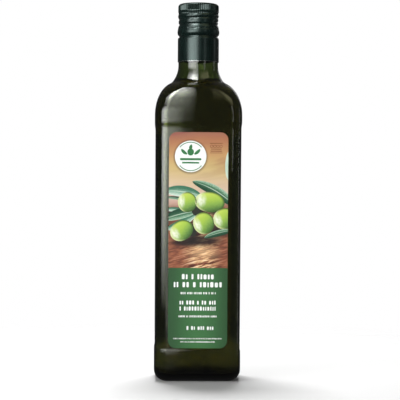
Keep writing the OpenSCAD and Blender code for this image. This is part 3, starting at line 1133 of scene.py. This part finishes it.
def makeFloor():
    deselectAll()
    bpy.ops.mesh.primitive_circle_add(vertices=128, radius=floorShape["radius"], fill_type="NGON",
                                      location=(0, 0, -floorShape["down"]))
    floor = bpy.context.object
    floor.name = "floor"
    mat, tree, shader = newMaterial("paleFloor")
    x, y, _ = axes(tree, coords(tree))
    shader.inputs["Base Color"].default_value = floorShape["colour"]
    shader.inputs["Roughness"].default_value = 0.9
    shader.inputs["Specular IOR Level"].default_value = 0.1
    fade = spread(tree, distance(tree, x, y), floorShape["solidTo"], floorShape["goneBy"], 1.0, 0.0)
    wire(tree, fade, shader.inputs["Alpha"])
    floor.data.materials.append(mat)
    floor.visible_glossy = False


def makeWorld():
    world = bpy.data.worlds.new("surroundings")
    scene.world = world
    world.use_nodes = True
    tree = world.node_tree
    back = tree.nodes["Background"]
    path = tree.nodes.new("ShaderNodeLightPath")
    tone = 0.0
    for kind, amount in worldShares.items():
        tone = calc(tree, "MAXIMUM", tone, calc(tree, "MULTIPLY", path.outputs[kind], amount))
    wire(tree, tone, back.inputs["Strength"])
    back.inputs["Color"].default_value = (1, 1, 1, 1)


softboxes = {
    # place, point aimed at, width, height, power, mirrored in the bottle, shines on what is dull
    "keyLight": ((-0.49, -0.65, 0.31), (0, 0, 0.31), 0.86, 0.62, 15.9, True, True),
    "upperLight": ((-0.298, -0.51, 0.63), (-0.298, 0, 0.12), 0.62, 1.2, 56.0, True, False),
    "frontLight": ((-0.3, -1.5, 0.25), (-0.3, 0, 0.25), 0.54, 1.2, 7.0, True, False),
    "overLight": ((0.35, -0.51, 0.63), (0.35, 0, 0.12), 0.6, 1.1, 2.6, True, False),
    "rimLight": ((0.5, 1.1, 0.62), (0, 0, 0.2), 0.5, 0.4, 0.35, True, False),
    "rightLight": ((0.52, -0.7, 0.42), (0, 0, 0.3), 0.14, 0.5, 0.25, True, False),
    "sideLight": ((0.88, 0.2, 0.25), (0, 0, 0.2), 0.1, 0.6, 0.2, True, True),
    "fillLight": ((0.0, -1.7, 0.5), (0, 0, 0.1), 0.5, 0.5, 4.8, False, True),
    "topLight": ((-0.05, 0.42, 1.15), (0, 0, 0), 0.45, 0.45, 26.0, False, True),
}
tints = {"overLight": (1.0, 0.93, 0.58)}
falloffs = {
    # how a softbox fades towards its edges: across and up, as (place, brightness) pairs
    "keyLight": ([(0.0, 0.0), (0.25, 0.85), (0.5, 1.0), (0.8, 0.6), (1.0, 0.1)],
                 [(0.0, 0.0), (0.15, 0.5), (0.3, 0.95), (0.7, 0.95), (1.0, 0.2)]),
    "upperLight": ([(0.0, 0.1), (0.35, 0.3), (0.65, 1.0), (0.92, 0.5), (1.0, 0.0)],
                   [(0.0, 0.05), (0.3, 0.13), (0.55, 0.3), (0.75, 1.0), (0.92, 1.0), (1.0, 0.0)]),
    "frontLight": ([(0.0, 0.3), (0.5, 0.5), (0.75, 0.9), (0.88, 0.7), (1.0, 0.0)],
                   [(0.0, 0.0), (0.2, 0.06), (0.26, 0.5), (0.38, 0.7), (0.5, 1.0), (0.8, 0.85), (1.0, 0.0)]),
    "overLight": ([(0.0, 0.3), (0.3, 1.0), (1.0, 1.0)],
                  [(0.0, 0.0), (0.45, 0.0), (0.68, 1.0), (0.88, 1.0), (1.0, 0.0)]),
}


def fadeLamp(lamp, across, up):
    lamp.data.use_nodes = True
    tree = lamp.data.node_tree
    source = tree.nodes.new("ShaderNodeTexCoord")
    place = axes(tree, source.outputs["UV"])
    parts = []
    for share, stops in ((place[0], across), (place[1], up)):
        parts.append(ramp(tree, share, [(at, (v, v, v, 1)) for at, v in stops]))
    wire(tree, calc(tree, "MULTIPLY", *parts), tree.nodes["Emission"].inputs["Strength"])


def makeLights():
    for name, (spot, aim, wide, tall, power, mirrored, shining) in softboxes.items():
        deselectAll()
        bpy.ops.object.light_add(type="AREA", location=spot)
        lamp = bpy.context.object
        lamp.name = name
        lamp.data.shape = "RECTANGLE"
        lamp.data.size = wide
        lamp.data.size_y = tall
        lamp.data.energy = power
        lamp.visible_glossy = mirrored
        lamp.visible_transmission = mirrored
        lamp.visible_diffuse = shining
        lamp.data.color = tints.get(name, (1, 1, 1))
        away = lamp.location.copy()
        away.x -= aim[0]
        away.y -= aim[1]
        away.z -= aim[2]
        lamp.rotation_euler = away.to_track_quat("Z", "Y").to_euler()
        if name in falloffs:
            fadeLamp(lamp, *falloffs[name])


makeFloor()
makeWorld()
makeLights()
print("stage: floor and light")
